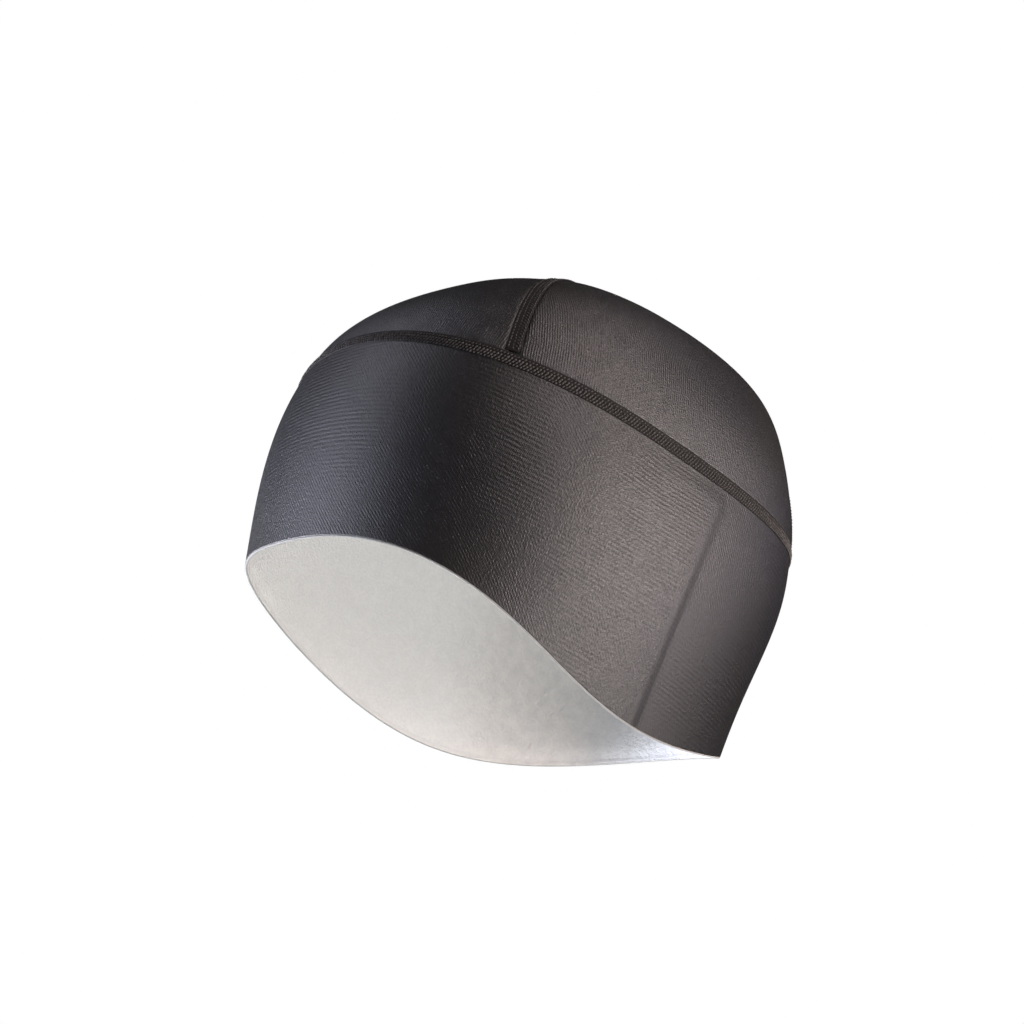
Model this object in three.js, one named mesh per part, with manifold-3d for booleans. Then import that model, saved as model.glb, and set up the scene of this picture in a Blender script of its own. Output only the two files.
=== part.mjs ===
import * as THREE from 'three';
import { mergeVertices } from 'three/addons/utils/BufferGeometryUtils.js';
import Module from 'manifold-3d';

// A stretch-knit helmet liner cap, as it sits on a head. Millimetres, +Z up, the brow towards -Y.
// The origin is the underside of the crown seam at the top, where the head touches the cap.

// The head-shaped form that the cap is stretched over, measured to the outside of the cloth.
const HALF_WIDTH = 81.5;
const FRONT_REACH = 92.5;
const BACK_REACH = 98;
const CAP_HEIGHT = 141;
const TOP_SET_BACK = 6;
const CORNER_FULLNESS = 0.04;
const BROW_FULLNESS = 0.05;

// Cloth layers and the clearance kept between any two pieces.
const FACE_CLOTH = 1.0;
const FLEECE = 1.0;
const PIECE_GAP = 0.3;
const FLEECE_PEEK = 0.5;

// Flatlock seams: a narrow web between the cut edges and a wider ribbon on either side of the cloth.
const SEAM_WIDTH = 4.8;
const SEAM_WEB = 2.0;
const SEAM_STAND = 0.6;
const SEAM_UNDER = 0.5;
const SEAM_BEVEL = 0.35;

// Directions of the crown seams from the top, in degrees from the brow as seen from above.
const FRONT_SEAM_AZIMUTH = 46;
const REAR_SEAM_AZIMUTH = 146;

// The soft hollow in the left of the crown.
const DENT_DEPTH = 1.4;
const DENT_AZIMUTH = 98;
const DENT_ARCH = 52;
const DENT_WIDE = 13;
const DENT_TALL = 7;

// The low ridges that the crown seams lift, and the shallow pull of the ring seam.
const RIDGE_RISE = 0.5;
const RIDGE_SPREAD = 14;
const PULL_DEPTH = 0.6;
const PULL_SPREAD = 9;

// How finely the surfaces are divided.
const COLUMNS = 56;
const BAND_ROWS = 8;
const CROWN_ROWS = 8;

// The form's reach at each arch angle, as shares of the half width and of the two reaches.
const FORM = [
  { arch: -12, side: 0.75, front: 0.96, back: 0.895 },
  { arch: 4, side: 0.925, front: 0.962, back: 0.915 },
  { arch: 18, side: 0.993, front: 0.998, back: 0.988 },
  { arch: 31, side: 0.998, front: 0.995, back: 0.972 },
  { arch: 43, side: 0.946, front: 0.927, back: 0.851 },
  { arch: 54, side: 0.822, front: 0.75, back: 0.735 },
  { arch: 64, side: 0.622, front: 0.518, back: 0.565 },
  { arch: 73, side: 0.405, front: 0.335, back: 0.387 },
  { arch: 82, side: 0.19, front: 0.158, back: 0.189 },
  { arch: 90, side: 0, front: 0, back: 0 },
];

// Heights of the open edge and of the ring seam round the head, as shares of the cap's height.
// Each row is a rise that comes back that many times in a turn, highest at the brow.
const LINES = [
  { times: 0, edge: -0.017, ring: 0.52 },
  { times: 1, edge: 0.088, ring: 0.067 },
  { times: 2, edge: 0.067, ring: 0.028 },
  { times: 3, edge: -0.025, ring: -0.003 },
  { times: 4, edge: -0.013, ring: 0 },
];

// Sizes that follow from the ones above.
const WALL = FACE_CLOTH + PIECE_GAP + FLEECE;
const HALF_WEB = SEAM_WEB / 2;
const HALF_RIBBON = SEAM_WIDTH / 2;
const CUT_EDGE = HALF_WEB + PIECE_GAP;
const SEAT_DEPTH = WALL + PIECE_GAP + SEAM_UNDER;
const SEAT_HEIGHT = CAP_HEIGHT + RIDGE_RISE - SEAT_DEPTH;
const RAD = Math.PI / 180;
const TOP = 90 * RAD;
const SEAM_PLANS = [FRONT_SEAM_AZIMUTH, REAR_SEAM_AZIMUTH, -REAR_SEAM_AZIMUTH, -FRONT_SEAM_AZIMUTH];

const wasm = await Module();
wasm.setup();

// A smooth curve through a column of the form's table, with no bend left at either end.
function smoothColumn(rows, column) {
  const xs = rows.map((row) => row.arch);
  const ys = rows.map((row) => row[column]);
  const n = xs.length;
  const bend = new Array(n).fill(0);
  const share = new Array(n).fill(0);
  const rest = new Array(n).fill(0);
  for (let i = 1; i < n - 1; i++) {
    const before = xs[i] - xs[i - 1];
    const after = xs[i + 1] - xs[i];
    const turn = (ys[i + 1] - ys[i]) / after - (ys[i] - ys[i - 1]) / before;
    const pivot = 2 * (before + after) - before * share[i - 1];
    share[i] = after / pivot;
    rest[i] = (6 * turn - before * rest[i - 1]) / pivot;
  }
  for (let i = n - 2; i > 0; i--) bend[i] = rest[i] - share[i] * bend[i + 1];
  return (x) => {
    let i = 0;
    while (i < n - 2 && x > xs[i + 1]) i++;
    const h = xs[i + 1] - xs[i];
    const b = Math.max((x - xs[i]) / h, -2);
    const a = 1 - b;
    const line = a * ys[i] + b * ys[i + 1];
    if (b < 0) return line;
    return line + (((a ** 3 - a) * bend[i] + (b ** 3 - b) * bend[i + 1]) * h * h) / 6;
  };
}

const sideShare = smoothColumn(FORM, 'side');
const frontShare = smoothColumn(FORM, 'front');
const backShare = smoothColumn(FORM, 'back');

function lineArch(column, turn) {
  let share = 0;
  for (const row of LINES) share += row[column] * Math.cos(row.times * turn);
  return Math.asin(share);
}

const edgeArch = (turn) => lineArch('edge', turn);
const ringArch = (turn) => lineArch('ring', turn);

// A bump that is 1 in the middle and fades smoothly to 0.
const fade = (x) => Math.exp(-0.5 * x * x);

// The bare form: turn is measured from the brow towards the left ear, arch from the widest level up.
function bareForm(turn, arch) {
  const degrees = arch / RAD;
  const c = Math.cos(turn);
  const s = Math.sin(turn);
  const full = 1 + CORNER_FULLNESS * Math.sin(2 * turn) ** 2;
  const halfWidth = HALF_WIDTH * sideShare(degrees);
  const front = FRONT_REACH * frontShare(degrees);
  const back = BACK_REACH * backShare(degrees);
  const reach = c > 0 ? front : back;
  const x = halfWidth * s * (1 + BROW_FULLNESS * c) * full;
  const setBack = TOP_SET_BACK * Math.max(0, Math.sin(arch)) ** 2 - TOP_SET_BACK;
  return new THREE.Vector3(x, setBack - reach * c * full, CAP_HEIGHT * Math.sin(arch));
}

function outward(turn, arch, surface) {
  if (arch > 89.5 * RAD) return new THREE.Vector3(0, 0, 1);
  const h = 0.004;
  const along = surface(turn + h, arch).sub(surface(turn - h, arch));
  const up = surface(turn, Math.min(arch + h, 89.9 * RAD)).sub(surface(turn, arch - h));
  return along.cross(up).normalize();
}

// How far a point is from the nearest crown seam, as seen from above.
function offCrownSeams(p) {
  const away = SEAM_PLANS.map((plan) => Math.abs(p.x * Math.cos(plan * RAD) + p.y * Math.sin(plan * RAD)));
  return Math.min(...away);
}

// The form with the soft hollow, the lift of the crown seams and the pull of the ring seam.
function softForm(turn, arch) {
  const p = bareForm(turn, arch);
  const degrees = arch / RAD;
  let away = turn / RAD - DENT_AZIMUTH;
  away -= 360 * Math.round(away / 360);
  const dent = fade(away / DENT_WIDE) * fade((degrees - DENT_ARCH) / DENT_TALL);
  const above = THREE.MathUtils.smoothstep(arch - ringArch(turn), 0, 0.35);
  const ridge = above * fade(offCrownSeams(p) / RIDGE_SPREAD);
  const fromRing = (arch - ringArch(turn)) * CAP_HEIGHT * 0.8;
  const pull = fade(fromRing / PULL_SPREAD);
  const lift = RIDGE_RISE * ridge - DENT_DEPTH * dent - PULL_DEPTH * pull;
  return p.addScaledVector(outward(turn, arch, bareForm), lift);
}

// A point at a depth under the outside of the cloth.
function clothPoint(turn, arch, depth) {
  const p = softForm(turn, arch);
  p.addScaledVector(outward(turn, arch, softForm), -depth);
  p.z -= SEAT_HEIGHT;
  return p;
}

// How far the arch angle changes over a length of cloth measured straight up the wall.
function archStep(turn, arch, length) {
  const h = 0.01;
  const run = softForm(turn, arch + h).distanceTo(softForm(turn, arch - h));
  return (length * 2 * h) / run;
}

// The slant of the ring seam where it passes a given turn: rise over run.
function ringLean(turn) {
  const h = 0.01;
  const ahead = softForm(turn + h, ringArch(turn + h));
  const behind = softForm(turn - h, ringArch(turn - h));
  return Math.abs(ahead.z - behind.z) / Math.hypot(ahead.x - behind.x, ahead.y - behind.y);
}

// The arch step that keeps a piece a given way off the ring seam's middle, however it slants.
const offRing = (turn, length) => archStep(turn, ringArch(turn), length * Math.hypot(1, ringLean(turn)));

const turnOf = (column) => (column / COLUMNS) * 2 * Math.PI;

function solidFrom(points, faces) {
  const positions = [];
  for (const face of faces) {
    for (const index of face) positions.push(...points[index].toArray());
  }
  const geometry = new THREE.BufferGeometry();
  geometry.setAttribute('position', new THREE.Float32BufferAttribute(positions, 3));
  return mergeVertices(geometry, 1e-3);
}

// Rows lie closer together beside the ring seam, where the cloth turns most.
const CLOSER = 1.25;
const fromSeam = (t) => t ** CLOSER;
const toSeam = (t) => 1 - (1 - t) ** CLOSER;

// A closed skin between two depths, from a lower arch line up to an upper one, or up to the pole.
function skin(lower, upper, rows, spacing, shallow, deep) {
  const points = [];
  const faces = [];
  const layer = (depth) => {
    const first = points.length;
    for (let r = 0; r <= rows; r++) {
      for (let c = 0; c < COLUMNS; c++) {
        const turn = turnOf(c);
        const a = lower(turn, depth);
        const b = upper ? upper(turn) : TOP;
        points.push(clothPoint(turn, a + (b - a) * spacing(r / rows), depth));
      }
    }
    return first;
  };
  const outer = layer(shallow);
  const inner = layer(deep);
  const quad = (a, b, c, d) => {
    faces.push([a, b, c]);
    faces.push([a, c, d]);
  };
  for (let r = 0; r < rows; r++) {
    const pole = !upper && r === rows - 1;
    for (let c = 0; c < COLUMNS; c++) {
      const n = (c + 1) % COLUMNS;
      const low = r * COLUMNS;
      const high = low + COLUMNS;
      if (pole) {
        faces.push([outer + low + c, outer + low + n, outer + high]);
        faces.push([inner + low + n, inner + low + c, inner + high]);
      } else {
        quad(outer + low + c, outer + low + n, outer + high + n, outer + high + c);
        faces.push([inner + low + n, inner + low + c, inner + high + n]);
        faces.push([inner + high + n, inner + low + c, inner + high + c]);
      }
    }
  }
  const rim = rows * COLUMNS;
  for (let c = 0; c < COLUMNS; c++) {
    const n = (c + 1) % COLUMNS;
    quad(outer + n, outer + c, inner + c, inner + n);
    if (upper) quad(outer + rim + c, outer + rim + n, inner + rim + n, inner + rim + c);
  }
  return solidFrom(points, faces);
}

// The flatlock section: pairs of across and depth, going round its outline.
const ribbonSection = () => {
  const top = -(PIECE_GAP + SEAM_STAND);
  const shoulder = top + SEAM_BEVEL;
  const under = WALL + PIECE_GAP;
  const bottom = under + SEAM_UNDER;
  return [
    [-HALF_RIBBON, -PIECE_GAP],
    [-HALF_RIBBON, shoulder],
    [-HALF_RIBBON + 2 * SEAM_BEVEL, top],
    [HALF_RIBBON - 2 * SEAM_BEVEL, top],
    [HALF_RIBBON, shoulder],
    [HALF_RIBBON, -PIECE_GAP],
    [HALF_WEB, -PIECE_GAP],
    [HALF_WEB, under],
    [HALF_RIBBON, under],
    [HALF_RIBBON, bottom],
    [-HALF_RIBBON, bottom],
    [-HALF_RIBBON, under],
    [-HALF_WEB, under],
    [-HALF_WEB, -PIECE_GAP],
  ];
};

// The section carried along stations, each a point, the way out of the cloth and the way across.
function ribbon(stations, closed) {
  const section = ribbonSection();
  const points = [];
  const faces = [];
  for (const at of stations) {
    for (const [across, depth] of section) {
      const p = at.point.clone().addScaledVector(at.across, across);
      points.push(p.addScaledVector(at.out, -depth));
    }
  }
  const k = section.length;
  const count = stations.length;
  const spans = closed ? count : count - 1;
  for (let i = 0; i < spans; i++) {
    const next = (i + 1) % count;
    for (let j = 0; j < k; j++) {
      const m = (j + 1) % k;
      faces.push([i * k + j, next * k + j, next * k + m]);
      faces.push([i * k + j, next * k + m, i * k + m]);
    }
  }
  if (!closed) {
    const flat = section.map(([x, y]) => new THREE.Vector2(x, y));
    const last = (count - 1) * k;
    for (const [a, b, c] of THREE.ShapeUtils.triangulateShape(flat, [])) {
      faces.push([a, b, c]);
      faces.push([last + c, last + b, last + a]);
    }
  }
  return solidFrom(points, faces);
}

function ringStations() {
  const stations = [];
  for (let c = 0; c < COLUMNS; c++) {
    const turn = turnOf(c);
    const h = 0.01;
    const point = clothPoint(turn, ringArch(turn), 0);
    const out = outward(turn, ringArch(turn), softForm);
    const ahead = clothPoint(turn + h, ringArch(turn + h), 0);
    const along = ahead.sub(clothPoint(turn - h, ringArch(turn - h), 0)).normalize();
    const across = new THREE.Vector3().crossVectors(out, along).normalize();
    stations.push({ point, out, across });
  }
  return stations;
}

// The turn at which the form, at an arch angle, lies in a given direction as seen from above.
function turnToward(plan, arch) {
  let low = (plan - 45) * RAD;
  let high = (plan + 45) * RAD;
  for (let i = 0; i < 40; i++) {
    const turn = (low + high) / 2;
    const p = softForm(turn, arch);
    const off = p.x * Math.cos(plan * RAD) + p.y * Math.sin(plan * RAD);
    if (off > 0) high = turn;
    else low = turn;
  }
  return (low + high) / 2;
}

// One station of a crown seam; the middle of its web lies in the seam's upright plane.
function armStation(plan, arch) {
  const across = new THREE.Vector3(-Math.cos(plan * RAD), -Math.sin(plan * RAD), 0);
  if (arch >= TOP) return { point: clothPoint(0, TOP, 0), out: outward(0, TOP, softForm), across };
  const plane = across.clone();
  const turn = turnToward(plan, arch);
  const point = clothPoint(turn, arch, 0);
  const out = outward(turn, arch, softForm);
  const h = 0.01;
  const higher = Math.min(arch + h, 89.9 * RAD);
  const along = clothPoint(turnToward(plan, higher), higher, 0);
  along.sub(clothPoint(turnToward(plan, arch - h), arch - h, 0));
  across.crossVectors(out, along).normalize();
  const middle = point.clone().addScaledVector(out, -WALL / 2);
  point.addScaledVector(across, -middle.dot(plane) / across.dot(plane));
  return { point, out, across };
}

// The arch of a crown row, as far round as the seam's plane passes it.
function rowArch(plan, share) {
  let arch = 45 * RAD;
  for (let i = 0; i < 12; i++) {
    const foot = crownFoot(turnToward(plan, arch));
    arch = foot + (TOP - foot) * share;
  }
  return arch;
}

// Stations of a crown seam, from just above the ring seam up to the top.
function armStations(plan) {
  let foot = 30 * RAD;
  for (let i = 0; i < 8; i++) foot = ringArch(turnToward(plan, foot));
  const turn = turnToward(plan, foot);
  const lean = ringLean(turn);
  const clear = HALF_RIBBON * (1 + lean / Math.hypot(1, lean)) + PIECE_GAP;
  const arches = [foot + offRing(turn, clear)];
  for (let r = 1; r < CROWN_ROWS; r++) arches.push(rowArch(plan, fromSeam(r / CROWN_ROWS)));
  arches.push(TOP);
  return arches.map((arch) => armStation(plan, arch));
}

// The long seam runs from the left of the brow over the top to the right of the nape.
function longStations() {
  const front = armStations(FRONT_SEAM_AZIMUTH);
  const rear = armStations(-REAR_SEAM_AZIMUTH).slice(0, -1).reverse();
  for (const at of rear) at.across.negate();
  const top = front[front.length - 1];
  const halfBend = ((180 - FRONT_SEAM_AZIMUTH - REAR_SEAM_AZIMUTH) / 2) * RAD;
  top.across.applyAxisAngle(top.out, -halfBend).divideScalar(Math.cos(halfBend));
  return [...front, ...rear];
}

// The other two seams stop short of the long one's two arms.
function shortStations(plan) {
  const reachTo = (arm) => {
    const angle = (plan - arm) * RAD;
    return (HALF_RIBBON * (1 + Math.abs(Math.cos(angle)))) / Math.abs(Math.sin(angle));
  };
  const reach = Math.max(reachTo(FRONT_SEAM_AZIMUTH), reachTo(-REAR_SEAM_AZIMUTH)) + PIECE_GAP;
  const stations = armStations(plan);
  const top = stations.pop();
  const last = stations[stations.length - 1];
  const share = reach / Math.hypot(last.point.x, last.point.y);
  const end = {};
  for (const key of ['point', 'out', 'across']) end[key] = top[key].clone().lerp(last[key], share);
  return [...stations, end];
}

function manifoldOf(geometry) {
  const bare = geometry.clone();
  bare.deleteAttribute('normal');
  bare.deleteAttribute('uv');
  const merged = mergeVertices(bare, 1e-3);
  const vertProperties = merged.attributes.position.array;
  const triVerts = new Uint32Array(merged.index.array);
  return new wasm.Manifold(new wasm.Mesh({ numProp: 3, vertProperties, triVerts }));
}

function geometryOf(solid) {
  const mesh = solid.getMesh();
  const positions = [];
  for (const v of mesh.triVerts) {
    const at = v * mesh.numProp;
    positions.push(mesh.vertProperties[at], mesh.vertProperties[at + 1], mesh.vertProperties[at + 2]);
  }
  const geometry = new THREE.BufferGeometry();
  geometry.setAttribute('position', new THREE.Float32BufferAttribute(positions, 3));
  return geometry;
}

// One gore of a crown skin, cut clear of the webs of the two seams beside it.
function gore(whole, from, to) {
  const far = 3 * (HALF_WIDTH + FRONT_REACH + BACK_REACH + CAP_HEIGHT);
  const middle = ((from + to) / 2) * RAD;
  const half = ((to - from) / 2) * RAD;
  const direction = (angle) => new THREE.Vector2(Math.sin(angle), -Math.cos(angle));
  const tip = direction(middle).multiplyScalar(CUT_EDGE / Math.sin(half));
  const corner = (angle) => direction(angle).multiplyScalar(far).add(tip);
  const shape = new THREE.Shape([tip, corner(from * RAD), corner(middle), corner(to * RAD)]);
  const block = new THREE.ExtrudeGeometry(shape, { depth: 2 * far, bevelEnabled: false });
  block.translate(0, 0, -far);
  return geometryOf(whole.intersect(manifoldOf(block)));
}

const bandTop = (turn) => ringArch(turn) - offRing(turn, CUT_EDGE);
const crownFoot = (turn) => ringArch(turn) + offRing(turn, CUT_EDGE);
const faceFoot = (turn) => edgeArch(turn) + archStep(turn, edgeArch(turn), FLEECE_PEEK);

const fleeceTop = FACE_CLOTH + PIECE_GAP;
const crownFace = manifoldOf(skin(crownFoot, null, CROWN_ROWS, fromSeam, 0, FACE_CLOTH));
const crownFleece = manifoldOf(skin(crownFoot, null, CROWN_ROWS, fromSeam, fleeceTop, WALL));

const group = new THREE.Group();

function addPiece(name, geometry, color, roughness) {
  geometry.computeVertexNormals();
  const material = new THREE.MeshStandardMaterial({ color, roughness, metalness: 0 });
  material.side = THREE.DoubleSide;
  const mesh = new THREE.Mesh(geometry, material);
  mesh.name = name;
  group.add(mesh);
}

addPiece('band', skin(faceFoot, bandTop, BAND_ROWS, toSeam, 0, FACE_CLOTH), 0x55545a, 0.62);
addPiece('band_lining', skin(edgeArch, bandTop, BAND_ROWS, toSeam, fleeceTop, WALL), 0xd6d3cd, 0.95);
addPiece('ring_seam', ribbon(ringStations(), true), 0x3a3836, 0.75);

const GORES = [
  { side: 'front', from: -FRONT_SEAM_AZIMUTH, to: FRONT_SEAM_AZIMUTH, color: 0x504e57 },
  { side: 'left', from: FRONT_SEAM_AZIMUTH, to: REAR_SEAM_AZIMUTH, color: 0x5c5856 },
  { side: 'back', from: REAR_SEAM_AZIMUTH, to: 360 - REAR_SEAM_AZIMUTH, color: 0x55545a },
  { side: 'right', from: -REAR_SEAM_AZIMUTH, to: -FRONT_SEAM_AZIMUTH, color: 0x55545a },
];
for (const { side, from, to, color } of GORES) {
  addPiece('crown_' + side, gore(crownFace, from, to), color, 0.62);
  addPiece('crown_lining_' + side, gore(crownFleece, from, to), 0xd4d1cb, 0.95);
}

addPiece('crown_seam_long', ribbon(longStations(), false), 0x383635, 0.75);
addPiece('crown_seam_front', ribbon(shortStations(-FRONT_SEAM_AZIMUTH), false), 0x383635, 0.75);
addPiece('crown_seam_rear', ribbon(shortStations(REAR_SEAM_AZIMUTH), false), 0x383635, 0.75);

export default group;
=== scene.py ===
import math

import bpy
import numpy as np
from mathutils import Matrix, Vector


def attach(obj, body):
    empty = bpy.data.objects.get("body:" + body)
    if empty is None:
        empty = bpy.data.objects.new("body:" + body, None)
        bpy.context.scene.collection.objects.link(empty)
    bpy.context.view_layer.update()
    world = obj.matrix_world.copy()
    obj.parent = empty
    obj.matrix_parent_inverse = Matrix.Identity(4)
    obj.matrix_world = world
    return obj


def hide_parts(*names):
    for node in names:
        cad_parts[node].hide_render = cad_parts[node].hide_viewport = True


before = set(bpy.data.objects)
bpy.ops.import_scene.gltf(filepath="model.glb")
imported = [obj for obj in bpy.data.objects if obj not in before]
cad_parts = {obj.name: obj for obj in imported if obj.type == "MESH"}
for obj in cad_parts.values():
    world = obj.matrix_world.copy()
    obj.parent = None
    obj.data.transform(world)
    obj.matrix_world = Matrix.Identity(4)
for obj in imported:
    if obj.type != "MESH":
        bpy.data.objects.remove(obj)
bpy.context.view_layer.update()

RAD = math.pi / 180
MM = 0.001

# The camera, at the photo's viewing angle: metres and radians.
HEADING = 59.61 * RAD
TILT = -18.62 * RAD
ROLL = 13.64 * RAD
DISTANCE = 0.629
TARGET = Vector((0, -0.006, -0.0788))
IMAGE_PIXELS = 1024
PIXELS_PER_METRE = 2823.5
SHIFT_PIXELS = (-14.61, 2.168)
SENSOR_WIDTH = 36


def camera_axes():
    """The directions to the right of the picture, up it, and out of it towards the viewer."""
    back = Vector((math.sin(HEADING) * math.cos(TILT), -math.cos(HEADING) * math.cos(TILT), math.sin(TILT)))
    right = Vector((math.cos(HEADING), math.sin(HEADING), 0))
    up = back.cross(right)
    right_rolled = right * math.cos(ROLL) + up * math.sin(ROLL)
    up_rolled = up * math.cos(ROLL) - right * math.sin(ROLL)
    return right_rolled, up_rolled, back


def add_camera():
    right, up, back = camera_axes()
    data = bpy.data.cameras.new("camera")
    data.sensor_width = SENSOR_WIDTH
    data.lens = PIXELS_PER_METRE * DISTANCE * SENSOR_WIDTH / IMAGE_PIXELS
    data.shift_x, data.shift_y = (shift / IMAGE_PIXELS for shift in SHIFT_PIXELS)
    data.clip_start = 0.01
    data.clip_end = 50
    camera = bpy.data.objects.new("camera", data)
    bpy.context.scene.collection.objects.link(camera)
    place = TARGET + back * DISTANCE
    rows = [(right[i], up[i], back[i], place[i]) for i in range(3)]
    camera.matrix_world = Matrix(rows + [(0, 0, 0, 1)])
    bpy.context.scene.camera = camera


add_camera()

# The form, as in the CAD part, in millimetres. A turn goes round the head, from 0 at the brow, and an arch is
# the angle above the widest line. Both are degrees in the values here, and radians in the functions. The FORM
# rows are shares of the reach at each arch. EDGE_LINE and RING_LINE are cosine series for the sine of the arch.
HALF_WIDTH = 81.5
FRONT_REACH = 92.5
BACK_REACH = 98
CAP_HEIGHT = 141
TOP_SET_BACK = 6
CORNER_FULLNESS = 0.04
BROW_FULLNESS = 0.05
FACE_CLOTH = 1.0
FLEECE = 1.0
PIECE_GAP = 0.3
FLEECE_PEEK = 0.5
SEAM_WIDTH = 4.8
SEAM_WEB = 2.0
SEAM_UNDER = 0.5
FRONT_SEAM_AZIMUTH = 46
REAR_SEAM_AZIMUTH = 146
DENT_DEPTH = 0.5
DENT_AZIMUTH = 98
DENT_ARCH = 52
DENT_WIDE = 13
DENT_TALL = 7
RIDGE_RISE = 1.1
RIDGE_SPREAD = 12
PULL_DEPTH = 0.6
PULL_SPREAD = 9
CREASE_RISE = 0.6
CREASE_WIDTH = 4.2
CREASE_SPREAD = 38
CREASE_AZIMUTH = 101.3
CREASE_BOW = 0.36
FORM_ARCH = [-12, 4, 18, 31, 43, 54, 64, 73, 82, 90]
FORM_SIDE = [0.75, 0.925, 0.993, 0.998, 0.946, 0.822, 0.622, 0.405, 0.19, 0]
FORM_FRONT = [0.96, 0.962, 0.998, 0.995, 0.927, 0.75, 0.518, 0.335, 0.158, 0]
FORM_BACK = [0.895, 0.915, 0.988, 0.972, 0.851, 0.735, 0.565, 0.387, 0.189, 0]
EDGE_LINE = [-0.017, 0.088, 0.067, -0.025, -0.013]
RING_LINE = [0.52, 0.067, 0.028, -0.003, 0]
WALL = FACE_CLOTH + PIECE_GAP + FLEECE
CAD_RIDGE_RISE = 0.5
SEAT_HEIGHT = CAP_HEIGHT + CAD_RIDGE_RISE - (WALL + PIECE_GAP + SEAM_UNDER)
CUT_EDGE = SEAM_WEB / 2 + PIECE_GAP
TOP_ARCH = 89.4 * RAD
SEAM_PLANS = [FRONT_SEAM_AZIMUTH, REAR_SEAM_AZIMUTH, -REAR_SEAM_AZIMUTH, -FRONT_SEAM_AZIMUTH]


def natural_spline(xs, ys):
    """A smooth curve through the points, straight below the first."""
    xs = np.array(xs, float)
    ys = np.array(ys, float)
    n = len(xs)
    h = np.diff(xs)
    a = np.zeros((n, n))
    b = np.zeros(n)
    a[0, 0] = a[-1, -1] = 1
    for i in range(1, n - 1):
        a[i, i - 1], a[i, i], a[i, i + 1] = h[i - 1], 2 * (h[i - 1] + h[i]), h[i]
        b[i] = 6 * ((ys[i + 1] - ys[i]) / h[i] - (ys[i] - ys[i - 1]) / h[i - 1])
    bend = np.linalg.solve(a, b)

    def at(x):
        i = np.clip(np.searchsorted(xs, x) - 1, 0, n - 2)
        hi = h[i]
        v = np.maximum((x - xs[i]) / hi, -2)
        u = 1 - v
        line = u * ys[i] + v * ys[i + 1]
        curve = line + ((u**3 - u) * bend[i] + (v**3 - v) * bend[i + 1]) * hi * hi / 6
        return np.where(v < 0, line, curve)

    return at


side_share = natural_spline(FORM_ARCH, FORM_SIDE)
front_share = natural_spline(FORM_ARCH, FORM_FRONT)
back_share = natural_spline(FORM_ARCH, FORM_BACK)


def line_arch(line, turn):
    """The arch at a turn on a line round the head."""
    share = sum(row * np.cos(k * turn) for k, row in enumerate(line))
    return np.arcsin(share)


def edge_arch(turn):
    return line_arch(EDGE_LINE, turn)


def ring_arch(turn):
    return line_arch(RING_LINE, turn)


def fade(x):
    return np.exp(-0.5 * x * x)


def smoothstep(x, low, high):
    t = np.clip((x - low) / (high - low), 0, 1)
    return t * t * (3 - 2 * t)


def bare_form(turn, arch):
    """A point of the smooth form, without dent, ridges, pull or crease."""
    degrees = arch / RAD
    c = np.cos(turn)
    s = np.sin(turn)
    full = 1 + CORNER_FULLNESS * np.sin(2 * turn) ** 2
    reach = np.where(c > 0, FRONT_REACH * front_share(degrees), BACK_REACH * back_share(degrees))
    x = HALF_WIDTH * side_share(degrees) * s * (1 + BROW_FULLNESS * c) * full
    y = TOP_SET_BACK * np.maximum(0, np.sin(arch)) ** 2 - TOP_SET_BACK - reach * c * full
    z = CAP_HEIGHT * np.sin(arch)
    return np.stack([x, y, z], -1)


def unit(v):
    return v / np.maximum(np.linalg.norm(v, axis=-1, keepdims=True), 1e-12)


def outward(turn, arch, surface):
    """The direction straight out of a surface. Close to the top it is straight up."""
    h = 0.004
    capped = np.minimum(arch, TOP_ARCH)
    along = surface(turn + h, capped) - surface(turn - h, capped)
    up = surface(turn, capped + h * 0.9) - surface(turn, capped - h)
    n = unit(np.cross(along, up))
    return np.where((arch > TOP_ARCH)[..., None], np.array([0.0, 0.0, 1.0]), n)


def off_crown_seams(p):
    """How far a point is from the nearest crown seam, seen from above."""
    away = [np.abs(p[..., 0] * math.cos(a * RAD) + p[..., 1] * math.sin(a * RAD)) for a in SEAM_PLANS]
    return np.min(away, 0)


def soft_form(turn, arch):
    """A point of the form as the cloth shows it."""
    p = bare_form(turn, arch)
    degrees = arch / RAD
    away = turn / RAD - DENT_AZIMUTH
    away = away - 360 * np.round(away / 360)
    dent = fade(away / DENT_WIDE) * fade((degrees - DENT_ARCH) / DENT_TALL)
    above = smoothstep(arch - ring_arch(turn), 0, 0.35)
    ridge = above * fade(off_crown_seams(p) / RIDGE_SPREAD)
    pull = fade((arch - ring_arch(turn)) * CAP_HEIGHT * 0.8 / PULL_SPREAD)
    lift = RIDGE_RISE * ridge - DENT_DEPTH * dent - PULL_DEPTH * pull + crease_lift(turn, arch)
    return p + outward(turn, arch, bare_form) * lift[..., None]


def crease_lift(turn, arch):
    """A soft pressed crease down the left of the band: its front side stands a little proud of its rear one."""
    middle = CREASE_AZIMUTH * RAD + CREASE_BOW * (arch - 4 * RAD) ** 2
    off = turn - middle
    x = (off - 2 * math.pi * np.round(off / (2 * math.pi))) * HALF_WIDTH
    step = 1 - smoothstep(x, -CREASE_WIDTH / 2, CREASE_WIDTH / 2)
    below = smoothstep((ring_arch(turn) - arch) * CAP_HEIGHT, 3, 10)
    return CREASE_RISE * step * smoothstep(x, -CREASE_SPREAD, -2) * below


def normal_at(turn, arch):
    return outward(turn, arch, soft_form)


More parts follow.
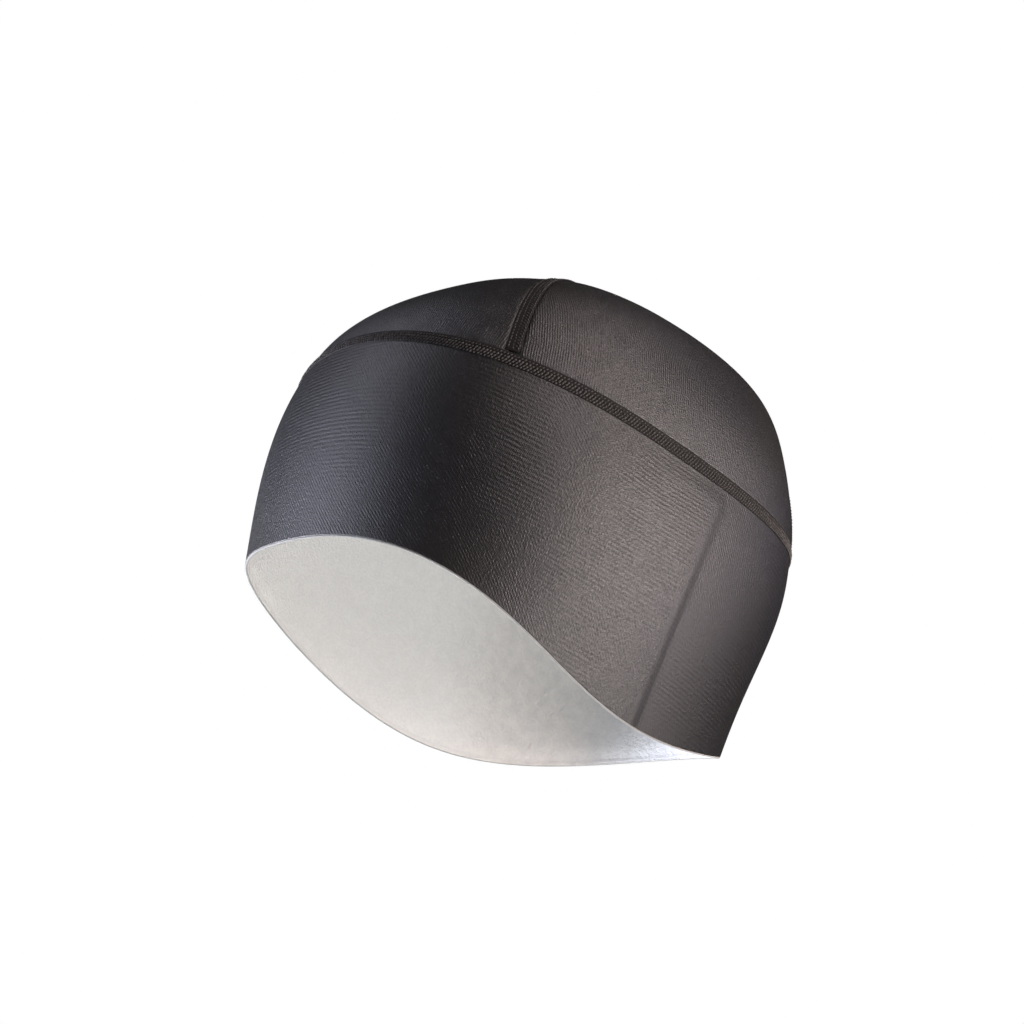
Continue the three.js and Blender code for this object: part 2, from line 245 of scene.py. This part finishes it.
def turn_toward(plan, arch):
    """The turn at which the form, at each arch, lies in a direction seen from above (radians)."""
    plan, arch = np.broadcast_arrays(np.asarray(plan, float), np.asarray(arch, float))
    low = plan - 45 * RAD
    high = plan + 45 * RAD
    for _ in range(30):
        turn = (low + high) / 2
        p = soft_form(turn, arch)
        off = p[..., 0] * np.cos(plan) + p[..., 1] * np.sin(plan)
        high = np.where(off > 0, turn, high)
        low = np.where(off > 0, low, turn)
    return (low + high) / 2


def arch_step(turn, arch, length):
    """The difference in arch that makes a length on the form."""
    h = 0.01
    run = np.linalg.norm(soft_form(turn, arch + h) - soft_form(turn, arch - h), axis=-1)
    return length * 2 * h / run


def ring_lean(turn):
    """How steeply the ring seam runs at a turn."""
    h = 0.01
    d = soft_form(turn + h, ring_arch(turn + h)) - soft_form(turn - h, ring_arch(turn - h))
    return np.abs(d[..., 2]) / np.hypot(d[..., 0], d[..., 1])


def off_ring(turn, length):
    """The difference in arch that keeps a length clear of the ring seam's middle."""
    return arch_step(turn, ring_arch(turn), length * np.hypot(1, ring_lean(turn)))


def to_metres(p):
    q = np.array(p, float)
    q[..., 2] -= SEAT_HEIGHT
    return q * MM


def make_object(name, verts, faces, material, uvs=None, round_length=None):
    """A mesh object from points and faces: one array of quads, or a list of mixed ones.

    round_length is the first UV number's length all the way round a closed cloth, on which it starts anew.
    """
    verts = np.asarray(verts, np.float32)
    if isinstance(faces, np.ndarray):
        sizes = np.full(len(faces), faces.shape[1], np.int32)
        corners = faces.ravel().astype(np.int32)
    else:
        sizes = np.array([len(f) for f in faces], np.int32)
        corners = np.array([i for f in faces for i in f], np.int32)
    mesh = bpy.data.meshes.new(name)
    mesh.vertices.add(len(verts))
    mesh.vertices.foreach_set("co", verts.ravel())
    mesh.loops.add(len(corners))
    mesh.loops.foreach_set("vertex_index", corners)
    mesh.polygons.add(len(sizes))
    mesh.polygons.foreach_set("loop_start", np.concatenate([[0], np.cumsum(sizes)[:-1]]).astype(np.int32))
    mesh.polygons.foreach_set("use_smooth", np.full(len(sizes), True))
    if uvs is not None:
        layer = mesh.uv_layers.new(name="cloth")
        at_corners = np.array(uvs)[corners]
        if round_length:
            u = at_corners[:, 0].reshape(-1, 4)
            late = (u.max(1, keepdims=True) - u) > round_length / 2
            u[late] += round_length
            at_corners[:, 0] = u.ravel()
        layer.data.foreach_set("uv", at_corners.astype(np.float32).ravel())
    mesh.materials.append(material)
    mesh.update(calc_edges=True)
    mesh.validate()
    obj = bpy.data.objects.new(name, mesh)
    bpy.context.scene.collection.objects.link(obj)
    return obj


def grid_faces(rows, columns, first, closed, flip=False):
    """The quads of a grid whose points start at the number first."""
    r = np.arange(rows - 1)[:, None]
    c = np.arange(columns if closed else columns - 1)[None]
    n = (c + 1) % columns
    a = first + r * columns + c
    b = first + r * columns + n
    d = a + columns
    e = b + columns
    quads = (a, d, e, b) if flip else (a, b, e, d)
    return np.stack([np.broadcast_to(q, a.shape) for q in quads], -1).reshape(-1, 4)


# The inner layer starts this far up the UV map, above the lip, which the fleece darkens with painted shade.
LIP_UV = 0.0005
# The UV span over which the painted shade on the lip fades into the fleece colour.
LIP_SHADE_UV = (0.0004, 0.00046)


def cloth_shell(name, turn, arch, shallow, deep, closed, material, uv, roll):
    """A cloth with thickness over a grid of turns and arches. Its cut edges bulge by the share roll."""
    rows, columns = turn.shape
    normal = normal_at(turn, arch)
    base = soft_form(turn, arch)
    layers = [(base - normal * depth).reshape(-1, 3) for depth in (shallow, deep)]
    flat_uv = uv.reshape(-1, 2)
    count = rows * columns
    verts, uvs = list(layers), [flat_uv, flat_uv + (0, LIP_UV)]
    faces = [grid_faces(rows, columns, 0, closed), grid_faces(rows, columns, count, closed, True)]

    def lip(border, inward, flip=False):
        """A rounded edge between the layers along a border; inward is the index step into the cloth."""
        tops, lows = layers[0][border], layers[1][border]
        away = unit(lows - layers[1][border + inward])
        bulge = np.linalg.norm(tops - lows, axis=-1, keepdims=True) * roll
        rings = [border]
        for share in (0.2, 0.5, 0.8):
            rings.append(np.arange(len(border)) + sum(len(v) for v in verts))
            verts.append(tops * (1 - share) + lows * share + away * bulge * math.sin(share * math.pi))
            uvs.append(flat_uv[border])
        rings.append(border + count)
        near = np.arange(len(border) if closed else len(border) - 1)
        after = (near + 1) % len(border)
        for a, b in zip(rings[:-1], rings[1:]):
            quads = np.stack([a[near], b[near], b[after], a[after]], -1)
            faces.append(quads[:, ::-1] if flip else quads)

    across = np.arange(columns)
    lip(across, columns)
    lip((rows - 1) * columns + across, -columns, flip=True)
    if not closed:
        up = np.arange(rows) * columns
        lip(up, 1, flip=True)
        lip(up + columns - 1, -1)
    verts, faces, uvs = (np.concatenate(parts) for parts in (verts, faces, uvs))
    return make_object(name, to_metres(verts), faces, material, uvs, BAND_ROUND if closed else None)


# The materials. Their lengths are metres, like the scene's.
class Shader:
    """A procedural material under construction, with short calls for its nodes."""

    def __init__(self, name):
        self.material = bpy.data.materials.new(name)
        self.material.use_nodes = True
        tree = self.material.node_tree
        tree.nodes.clear()
        self.nodes, self.links = tree.nodes, tree.links
        self.surface = self.nodes.new("ShaderNodeBsdfPrincipled")
        out = self.nodes.new("ShaderNodeOutputMaterial")
        self.links.new(self.surface.outputs[0], out.inputs[0])
        self.place = self.nodes.new("ShaderNodeTexCoord").outputs["Object"]

    def set(self, **values):
        for name, value in values.items():
            self.surface.inputs[name.replace("_", " ")].default_value = value

    def drive(self, name, value):
        self.links.new(value, self.surface.inputs[name])

    def math(self, operation, *terms):
        node = self.nodes.new("ShaderNodeMath")
        node.operation = operation
        for slot, term in zip(node.inputs, terms):
            if isinstance(term, (int, float)):
                slot.default_value = term
            else:
                self.links.new(term, slot)
        return node.outputs[0]

    def total(self, *shares):
        """The sum of (value, weight) pairs."""
        result = 0.0
        for value, weight in shares:
            result = self.math("MULTIPLY_ADD", value, weight, result)
        return result

    def noise(self, size, detail=2, roughness=0.5):
        """Noise about 0, with lumps of about the given size."""
        node = self.nodes.new("ShaderNodeTexNoise")
        node.inputs["Scale"].default_value = 1 / size
        node.inputs["Detail"].default_value = detail
        node.inputs["Roughness"].default_value = roughness
        self.links.new(self.place, node.inputs["Vector"])
        return self.math("SUBTRACT", node.outputs["Fac"], 0.5)

    def cloth(self):
        """The lengths round the head and up the wall, from the cloth's own UV map."""
        uv = self.nodes.new("ShaderNodeUVMap")
        uv.uv_map = "cloth"
        parts = self.nodes.new("ShaderNodeSeparateXYZ")
        self.links.new(uv.outputs[0], parts.inputs[0])
        return parts.outputs["X"], parts.outputs["Y"]

    def waves(self, length, pitch, drift=0.0):
        """Waves between -1 and 1 along a length, shifted by a drift in radians."""
        turns = self.math("MULTIPLY_ADD", length, 2 * math.pi / pitch, drift)
        return self.math("SINE", turns)

    def steps(self, value, low, high, start=0.0, end=1.0):
        """A smooth change from start, where the value is low, to end."""
        node = self.nodes.new("ShaderNodeMapRange")
        node.interpolation_type = "SMOOTHSTEP"
        for name, number in (("From Min", low), ("From Max", high), ("To Min", start), ("To Max", end)):
            node.inputs[name].default_value = number
        self.links.new(value, node.inputs["Value"])
        return node.outputs[0]

    def blend(self, value, dark, light):
        node = self.nodes.new("ShaderNodeMix")
        node.data_type = "RGBA"
        self.links.new(value, node.inputs["Factor"])
        for name, color in (("A", dark), ("B", light)):
            if isinstance(color, tuple):
                node.inputs[name].default_value = (*color, 1)
            else:
                self.links.new(color, node.inputs[name])
        return node.outputs["Result"]

    def relief(self, height, depth):
        bump = self.nodes.new("ShaderNodeBump")
        bump.inputs["Strength"].default_value = 1.0
        bump.inputs["Distance"].default_value = depth
        self.links.new(height, bump.inputs["Height"])
        self.links.new(bump.outputs[0], self.surface.inputs["Normal"])


def knit_material(name, row_pitch, rib_pitch, row_share, rib_share, gloss):
    """Fine stretch knit: rows, slants and ribs of small loops that bend and fade, uneven yarn and a soft gloss."""
    knit = Shader(name)
    across, up = knit.cloth()
    bend = knit.noise(0.09, 1)
    drift = knit.math("MULTIPLY", bend, 60.0)
    rows = knit.waves(up, row_pitch, drift)
    ribs = knit.waves(across, rib_pitch, knit.math("MULTIPLY", knit.noise(0.012, 2), 9.0))
    slanted = knit.total((across, 1.0), (up, 0.95))
    slants = knit.waves(slanted, BAND_ROUND / 380, knit.math("MULTIPLY", bend, -24.0))
    loops = knit.math("MULTIPLY", knit.waves(across, BAND_ROUND / 650), knit.waves(up, 0.0007))
    zone = knit.steps(knit.noise(0.05, 1), -0.1, 0.1)
    firmness = knit.steps(knit.noise(0.006, 2), -0.2, 0.2, 0.4, 1.0)
    yarn = knit.noise(0.0008, 2, 0.75)
    tufts = knit.noise(0.0024, 2, 0.6)
    mottle = knit.noise(0.014, 3)
    lines = knit.total(
        (knit.math("MULTIPLY", rows, zone), row_share),
        (knit.math("MULTIPLY", slants, knit.math("SUBTRACT", 1.0, zone)), row_share * 0.7),
        (ribs, rib_share),
    )
    weave = knit.total((knit.math("MULTIPLY", lines, firmness), 1.0), (loops, 0.3), (yarn, 3.6), (tufts, 0.2))
    tone = knit.math("ADD", knit.total((weave, 0.5), (mottle, 0.25)), 0.4)
    warm = knit.blend(tone, (0.0007, 0.0006, 0.0006), (0.021, 0.019, 0.0185))
    cool = knit.blend(tone, (0.0007, 0.0007, 0.0009), (0.018, 0.018, 0.0225))
    knit.drive("Base Color", knit.blend(knit.steps(knit.noise(0.07, 1), -0.12, 0.12), warm, cool))
    knit.drive("Roughness", knit.steps(weave, -1.3, 1.3, 0.6, 0.27))
    knit.relief(weave, 0.000065)
    knit.set(Specular_IOR_Level=gloss)
    return knit.material


def tint(color, shares):
    return tuple(c * share for c, share in zip(color, shares))


def fleece_material(name, light, dark):
    """Pale matte fleece with a fine nap, small pills and soft patches, and more pills at the nape. Painted shade
    greys the nape and makes it darker and bluer further back, and painted shade darkens the cut lip.
    """
    fleece = Shader(name)
    nap = fleece.noise(0.0011, 4, 0.65)
    pills = fleece.noise(0.0042, 2)
    patches = fleece.noise(0.024, 3)
    parts = fleece.nodes.new("ShaderNodeSeparateXYZ")
    fleece.links.new(fleece.place, parts.inputs[0])
    # Painted shade: this mask greys the fleece towards the back, and it also adds pills there.
    nape_pills_and_shade = fleece.steps(parts.outputs["Y"], 0.012, 0.046)
    # Painted shade: this mask makes the fleece darker and bluer still further back.
    bluish_shade_mask = fleece.steps(parts.outputs["Y"], 0.06, 0.088)
    rubbed = fleece.math("MULTIPLY", pills, nape_pills_and_shade)
    brushed = fleece.total((nap, 1.3), (pills, 0.4), (rubbed, 1.1))
    tone = fleece.steps(fleece.total((brushed, 1.0), (patches, 0.3)), -0.5, 0.5)
    unshaded_fleece = fleece.blend(tone, dark, light)
    # Painted shade: grey and darker blue copies of the fleece colour for the back of the inside.
    painted_grey_shade, painted_blue_shade = (
        fleece.blend(tone, tint(dark, shares), tint(light, shares))
        for shares in ((0.9, 0.88, 0.87), (0.7, 0.725, 0.77))
    )
    # Painted shade: the fleece's lip is darkened to 42 percent of its colour.
    painted_lip_shade = tint(light, (0.42, 0.42, 0.42))
    inside = fleece.blend(nape_pills_and_shade, unshaded_fleece, fleece.blend(bluish_shade_mask, painted_grey_shade, painted_blue_shade))
    fleece.drive("Base Color", fleece.blend(fleece.steps(fleece.cloth()[1], *LIP_SHADE_UV), painted_lip_shade, inside))
    fleece.relief(brushed, 0.0004)
    fleece.set(Roughness=0.95, Specular_IOR_Level=0.1, Sheen_Weight=0.05, Sheen_Roughness=0.6)
    return fleece.material


def thread_material(name, light, dark, rough=0.6, gloss=0.25):
    """Stitched thread: two tones, finely uneven."""
    thread = Shader(name)
    fibres = thread.noise(0.0006, 3, 0.7)
    thread.drive("Base Color", thread.blend(thread.steps(fibres, -0.25, 0.25), dark, light))
    thread.relief(fibres, 0.00008)
    thread.set(Roughness=rough, Specular_IOR_Level=gloss)
    return thread.material


BAND_ROUND = 0.533
BAND_KNIT = knit_material("band_knit", 0.0015, BAND_ROUND / 640, 0.66, 0.17, 0.7)
CROWN_KNIT = knit_material("crown_knit", 0.0017, BAND_ROUND / 620, 0.22, 0.6, 0.8)
FLEECE_MAT = fleece_material("brushed_fleece", (0.9, 0.905, 0.872), (0.79, 0.795, 0.768))
THREAD = thread_material("stitch_thread", (0.1, 0.0945, 0.0915), (0.03, 0.0282, 0.0272))
GROUND = thread_material("seam_ground", (0.02, 0.0185, 0.0175), (0.008, 0.0075, 0.007), 0.8, 0.2)

# The cloth panels. The RIM lengths are millimetres: rows at these lengths from the rim, the wrap under the face
# cloth's edge and its depth, and how much the fleece thins over the last of its height.
BAND_COLUMNS = 400
BAND_ROWS = 64
CROWN_ROWS = 56
GORE_COLUMN_DEGREES = 1.6
GORE_TIP_CLEARANCE = 0.05
RIM_ROWS = [0, 0.13, 0.26, 0.38, 0.5, 0.8, 1.4, 2.2, 3.4]
RIM_WRAP = 0.38
RIM_WRAP_DEPTH = 0.12
RIM_THINNING = 1.3
RIM_THINNED = 6
RING_UV = 0.2  # the face cloth's place on the UV map at the ring seam, in metres


def cloth_uv(turn, arch, middle):
    """Lengths along the cloth, in metres: round the head from the middle column, and up the wall."""
    p = soft_form(turn, arch)
    up = np.zeros(turn.shape)
    up[1:] = np.cumsum(np.linalg.norm(np.diff(p, axis=0), axis=-1), 0)
    across = np.zeros(turn.shape)
    across[:, 1:] = np.cumsum(np.linalg.norm(np.diff(p, axis=1), axis=-1), 1)
    return np.stack([across - across[:, middle : middle + 1], up], -1) * MM


def band_columns():
    """Turns of the band's columns, from nape to nape, twice as close at the crease as on average."""
    even = (np.arange(BAND_COLUMNS) / BAND_COLUMNS * 2 - 1) * math.pi
    return even - 0.5 * np.sin(even - CREASE_AZIMUTH * RAD)


def band(name, low_peek, deep, material, wraps):
    """One skin of the band. The one that wraps folds outwards at the rim, under the edge of the other."""
    turns = band_columns()
    edge = edge_arch(turns)
    step = arch_step(turns, edge, 1.0)
    high = ring_arch(turns) - off_ring(turns, CUT_EDGE)
    rim = edge + step * (low_peek + np.array(RIM_ROWS)[:, None])
    rise = np.linspace(0, 1, BAND_ROWS - len(RIM_ROWS) + 1)[1:, None]
    arch = np.concatenate([rim, rim[-1:] + (high - rim[-1:]) * rise])
    turn = np.broadcast_to(turns, arch.shape)
    uv = cloth_uv(turn, arch, 0)
    uv[..., 0] *= BAND_ROUND / (uv[:, -1:, 0] + uv[:, 1:2, 0])
    shallow = np.full((BAND_ROWS, 1, 1), deep - FACE_CLOTH)
    if wraps:
        shallow[: np.searchsorted(RIM_ROWS, RIM_WRAP, side="right")] = RIM_WRAP_DEPTH
        deep = deep - RIM_THINNING * (1 - smoothstep(uv[..., 1:] / MM, 0, RIM_THINNED))
    else:
        uv[..., 1] += RING_UV - uv[-1:, :, 1]
    return cloth_shell(name, turn, arch, shallow, deep, True, material, uv, 0.2 if wraps else 0.1)


def gore(name, start, end, shallow, deep, material):
    """A crown gore: rows rise from the ring seam to the top, between two crown seams."""
    width = (end - start) * RAD
    columns = int(round((end - start) / GORE_COLUMN_DEGREES)) | 1
    rows = np.linspace(0, 1, CROWN_ROWS)[:, None] ** 1.05
    share = np.linspace(0, 1, columns)
    highest = tip_arch(CUT_EDGE / math.sin(width / 2) + GORE_TIP_CLEARANCE)
    arch = np.full((CROWN_ROWS, columns), 35 * RAD)
    plan = np.tile(start * RAD + width * share, (CROWN_ROWS, 1))
    for _ in range(4):
        guess = turn_toward(plan, np.clip(arch, 20 * RAD, 89.9 * RAD))
        foot = ring_arch(guess) + off_ring(guess, CUT_EDGE)
        arch = np.minimum(foot + (90 * RAD - foot) * rows, highest)
        radius = np.linalg.norm(soft_form(guess, arch)[..., :2], axis=-1)
        inset = np.arcsin(CUT_EDGE / np.maximum(radius, CUT_EDGE * 1.001))
        inset = np.minimum(inset, width / 2 * 0.999)
        plan = start * RAD + inset + (width - 2 * inset) * share
    turn = turn_toward(plan, arch)
    uv = cloth_uv(turn, arch, columns // 2)
    return cloth_shell(name, turn, arch, shallow, deep, False, material, uv, 0.1)


def tip_arch(radius):
    """The arch at which the form is a given distance from the upright line through the top."""
    low, high = 70 * RAD, 90 * RAD
    for _ in range(30):
        middle = (low + high) / 2
        p = soft_form(np.array([0.0]), np.array([middle]))[0]
        if math.hypot(p[0], p[1]) > radius:
            low = middle
        else:
            high = middle
    return low


GORES = {
    "front": (-FRONT_SEAM_AZIMUTH, FRONT_SEAM_AZIMUTH),
    "left": (FRONT_SEAM_AZIMUTH, REAR_SEAM_AZIMUTH),
    "back": (REAR_SEAM_AZIMUTH, 360 - REAR_SEAM_AZIMUTH),
    "right": (-REAR_SEAM_AZIMUTH, -FRONT_SEAM_AZIMUTH),
}


def area_of(obj):
    areas = np.empty(len(obj.data.polygons))
    obj.data.polygons.foreach_get("area", areas)
    return float(areas.sum())


def declare(obj, node):
    """Attach a cloth to the root and hide the solid it replaces. Half of the mesh's area, one side of the cloth,
    is worked out but not used.
    """
    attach(obj, "root")
    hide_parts(node)
    area_of(obj) / 2


shown = band("band_face", FLEECE_PEEK, FACE_CLOTH, BAND_KNIT, wraps=False)
declare(shown, "band")
shown = band("band_fleece", 0, WALL, FLEECE_MAT, wraps=True)
declare(shown, "band_lining")
for side, (start, end) in GORES.items():
    shown = gore("gore_" + side, start, end, 0, FACE_CLOTH, CROWN_KNIT)
    declare(shown, "crown_" + side)
    shown = gore("gore_fleece_" + side, start, end, FACE_CLOTH + PIECE_GAP, WALL, FLEECE_MAT)
    declare(shown, "crown_lining_" + side)


# The seams: a ribbon that fills the gap between the cloths, with rows of thread loops on its face.
def frames(turn, arch, closed):
    """The points of a seam's path, and there the directions out of the cloth, along the seam and across it."""
    p = soft_form(turn, arch)
    out = normal_at(turn, arch)
    if closed:
        along = np.roll(p, -1, 0) - np.roll(p, 1, 0)
    else:
        along = np.gradient(p, axis=0)
    along = unit(along)
    across = unit(np.cross(out, along))
    return p, out, along, across


def ribbon(name, path, closed, node):
    """The ribbon's outline swept along a seam's frames."""
    p, out, along, across = path
    section = ribbon_outline()
    n, k = len(p), len(section)
    verts = np.stack([p + across * a - out * d for a, d in section], 1).reshape(-1, 3)
    faces = []
    for i in range(n if closed else n - 1):
        m = (i + 1) % n
        for j in range(k):
            q = (j + 1) % k
            faces.append((i * k + j, m * k + j, m * k + q, i * k + q))
    if not closed:
        faces.append(tuple(range(k)))
        faces.append(tuple((n - 1) * k + j for j in reversed(range(k))))
    obj = make_object(name, to_metres(verts), faces, GROUND, np.zeros((len(verts), 2)))
    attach(obj, "root")
    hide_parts(node)


def ribbon_outline():
    """Points of (across, depth) round a seam's ribbon: a face strip and a back strip, joined by the web."""
    half = SEAM_WIDTH / 2
    web = SEAM_WEB / 2
    top = -0.25
    under = WALL + 0.05
    right = [
        (half - 0.5, top),
        (half - 0.15, top + 0.08),
        (half, -0.05),
        (web, 0.1),
        (web, under - 0.1),
        (half, under),
        (half - 0.15, under + 0.3),
    ]
    left = [(-across, depth) for across, depth in reversed(right)]
    return right + left


BEAD_RINGS = 4
BEAD_SIDES = 6
STITCH_PITCH = 1.2


def bead_mesh(length, width, height):
    """One raised loop of thread, lying along x, open underneath."""
    verts = []
    faces = []
    for i in range(BEAD_RINGS + 1):
        t = i / BEAD_RINGS * math.pi
        x = -math.cos(t) * length / 2
        r = math.sin(t) ** 0.8 if 0 < i < BEAD_RINGS else 0.0
        for j in range(BEAD_SIDES):
            a = j / (BEAD_SIDES - 1) * math.pi
            verts.append((x, math.cos(a) * width / 2 * r, math.sin(a) * height * r))
    for i in range(BEAD_RINGS):
        for j in range(BEAD_SIDES - 1):
            a = i * BEAD_SIDES + j
            faces.append((a, a + BEAD_SIDES, a + BEAD_SIDES + 1, a + 1))
    return np.array(verts), faces


def stitches(name, path, rows, closed, seed):
    """Rows of thread loops on the face of a seam: rows are (offset, slant, length, width, height, shift)."""
    p, out, along, across = path
    n = len(p)
    steps = np.linalg.norm(np.diff(p, axis=0), axis=-1)
    if closed:
        steps = np.append(steps, np.linalg.norm(p[0] - p[-1]))
    at = np.concatenate([[0], np.cumsum(steps)])
    total = at[-1]
    count = int(round(total / STITCH_PITCH))
    rng = np.random.default_rng(seed)
    verts, faces = [], []
    base = 0
    for offset, slant, length, width, height, shift in rows:
        bv, bf = bead_mesh(length, width, height)
        s = (np.arange(count) + shift) / count * total
        if not closed:
            s = s[(s > STITCH_PITCH * 0.6) & (s < total - STITCH_PITCH * 0.6)]
        k = np.clip(np.searchsorted(at, s, side="right") - 1, 0, len(steps) - 1)
        t = ((s - at[k]) / steps[k])[:, None]
        m = (k + 1) % n
        origin, o, al, ac = (v[k] * (1 - t) + v[m] * t for v in (p, out, along, across))
        angle = (slant + rng.normal(0, 0.08, len(s)))[:, None]
        size = (1 + rng.normal(0, 0.07, len(s)))[:, None, None]
        d1 = al * np.cos(angle) + ac * np.sin(angle)
        d2 = ac * np.cos(angle) - al * np.sin(angle)
        spot = origin + ac * (offset + rng.normal(0, 0.05, (len(s), 1))) + o * 0.2
        spot = spot + al * rng.normal(0, 0.06, (len(s), 1))
        body = bv[None, :, :1] * d1[:, None] + bv[None, :, 1:2] * d2[:, None] + bv[None, :, 2:] * o[:, None]
        verts.append((spot[:, None] + body * size).reshape(-1, 3))
        step = np.arange(len(s))[:, None, None] * len(bv)
        faces.append((np.array(bf)[None] + step + base).reshape(-1, 4))
        base += len(s) * len(bv)
    faces = np.concatenate(faces)
    obj = make_object(name, to_metres(np.concatenate(verts)), faces, THREAD)
    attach(obj, "root")


RING_COUNT = 720
ARM_COUNT = 90
RING_CLEARANCE = SEAM_WIDTH / 2 + 0.5
RING_ROWS = [
    (-1.85, 0.95, 0.95, 0.5, 0.36, 0.7),
    (-0.95, 1.05, 1.15, 0.62, 0.5, 0.2),
    (0.05, 1.15, 1.2, 0.66, 0.52, 0.6),
    (1.25, 0.8, 1.0, 0.42, 0.36, 0.1),
]

ring_turns = np.arange(RING_COUNT) / RING_COUNT * 2 * math.pi
path = frames(ring_turns, ring_arch(ring_turns), True)
ribbon("ring_ribbon", path, True, "ring_seam")
stitches("ring_stitches", path, RING_ROWS, True, 5)


def arm_path(plan, end_radius):
    """Turns and arches up a crown seam, from clear of the ring seam to a distance from the top."""
    foot = 30 * RAD
    for _ in range(8):
        foot = float(ring_arch(turn_toward(plan * RAD, foot)))
    start = foot + float(off_ring(turn_toward(plan * RAD, foot), RING_CLEARANCE))
    end = tip_arch(end_radius) if end_radius else 89.9 * RAD
    arch = np.linspace(start, end, ARM_COUNT)
    return turn_toward(np.full(ARM_COUNT, plan * RAD), arch), arch


def arm_frames(plans, end_radius):
    """The frames of a crown seam: up one arm, and down the other if there are two."""
    turn, arch = arm_path(plans[0], end_radius)
    if len(plans) == 2:
        turn_down, arch_down = arm_path(plans[1], end_radius)
        turn = np.concatenate([turn, turn_down[::-1]])
        arch = np.concatenate([arch, arch_down[::-1]])
    return frames(turn, arch, False)


CROWN_SEAM_ROWS = [
    (-1.75, 0.15, 0.95, 0.42, 0.36, 0.0),
    (-1.0, 0.9, 0.9, 0.42, 0.34, 0.5),
    (0.1, 0.1, 0.9, 0.3, 0.2, 0.0),
    (1.5, -0.1, 0.95, 0.34, 0.24, 0.5),
]
for name, plans, end in (
    ("long", [FRONT_SEAM_AZIMUTH, -REAR_SEAM_AZIMUTH], 0),
    ("front", [-FRONT_SEAM_AZIMUTH], 1.2),
    ("rear", [REAR_SEAM_AZIMUTH], 0.9),
):
    path = arm_frames(plans, end)
    ribbon("crown_ribbon_" + name, path, False, "crown_seam_" + name)
    stitches("crown_stitches_" + name, path, CROWN_SEAM_ROWS, False, 7)


# The stage and its light.
FLOOR_REACH = 6
FLOOR_HEIGHT = -0.9
paint = Shader("floor_white")
paint.set(Base_Color=(0.9, 0.9, 0.9, 1), Roughness=0.9, Specular_IOR_Level=0.1)
paint.set(Emission_Color=(1, 1, 1, 1), Emission_Strength=0.8)
corners = [(x * FLOOR_REACH, y * FLOOR_REACH, FLOOR_HEIGHT) for x, y in ((-1, -1), (1, -1), (1, 1), (-1, 1))]
floor = make_object("floor", corners, [(0, 1, 2, 3)], paint.material)
floor.visible_diffuse = False
floor.visible_glossy = False

LIGHT_REACH = 1.1
LIGHT_SIZE = 0.5
STUDIO_CENTRE = Vector((0, -0.003, -0.08))
STUDIO_LIGHTS = {
    # name: (azimuth and elevation in degrees, where the cap's front is 0 and its left is 90, watts, colour)
    "right_strip": (120, -5, 8.1, (1.0, 0.88, 0.865)),
    "right_upper": (120, 15, 4.4, (1.0, 0.88, 0.8)),
    "right_lower": (120, -25, 2.6, (1.0, 0.85, 0.78)),
    "right_low": (120, -50, 9.5, (1.0, 0.96, 0.95)),
    "right_rear": (150, 15, 1.6, (0.97, 0.86, 1.0)),
    "right_front": (90, 40, 4.6, (1.0, 0.86, 0.85)),
    "high_rear": (120, 70, 1.5, (1.0, 0.86, 0.85)),
    "left_strip": (-30, -5, 3.9, (0.75, 0.8, 1.0)),
    "left_lower": (-30, -25, 3.8, (0.85, 0.85, 1.0)),
    "left_upper": (-30, 15, 1.4, (0.88, 0.86, 1.0)),
    "left_high": (-30, 40, 1.7, (0.87, 0.87, 1.0)),
    "far_lower": (-60, -25, 20.5, (0.88, 0.87, 1.0)),
    "far_low": (-60, -50, 19.0, (0.95, 0.97, 0.95)),
    "far_side": (-120, 20, 6.0, (1.0, 0.97, 0.95)),
}


def soft_light(name, azimuth, elevation, power, color):
    a, e = azimuth * RAD, elevation * RAD
    away = Vector((math.sin(a) * math.cos(e), -math.cos(a) * math.cos(e), math.sin(e)))
    data = bpy.data.lights.new(name, "AREA")
    data.shape = "DISK"
    data.size = LIGHT_SIZE
    data.energy = power
    data.color = color
    light = bpy.data.objects.new(name, data)
    light.location = STUDIO_CENTRE + away * LIGHT_REACH
    light.rotation_euler = (-away).to_track_quat("-Z", "Y").to_euler()
    light.visible_camera = False
    bpy.context.scene.collection.objects.link(light)


for name, facts in STUDIO_LIGHTS.items():
    soft_light(name, *facts)


def background(nodes, color, strength):
    node = nodes.new("ShaderNodeBackground")
    node.inputs["Color"].default_value = (*color, 1)
    node.inputs["Strength"].default_value = strength
    return node.outputs[0]


def add_world():
    """A faint light from all sides, which the camera sees as plain white."""
    world = bpy.data.worlds.new("studio")
    bpy.context.scene.world = world
    world.use_nodes = True
    nodes, links = world.node_tree.nodes, world.node_tree.links
    nodes.clear()
    mix = nodes.new("ShaderNodeMixShader")
    links.new(nodes.new("ShaderNodeLightPath").outputs["Is Camera Ray"], mix.inputs["Fac"])
    links.new(background(nodes, (0.95, 0.98, 1.0), 0.012), mix.inputs[1])
    links.new(background(nodes, (1, 1, 1), 1.0), mix.inputs[2])
    links.new(mix.outputs[0], nodes.new("ShaderNodeOutputWorld").inputs["Surface"])


add_world()

scene = bpy.context.scene
scene.view_settings.view_transform = "Standard"
scene.view_settings.look = "None"
scene.view_settings.exposure = 0
scene.view_settings.gamma = 1

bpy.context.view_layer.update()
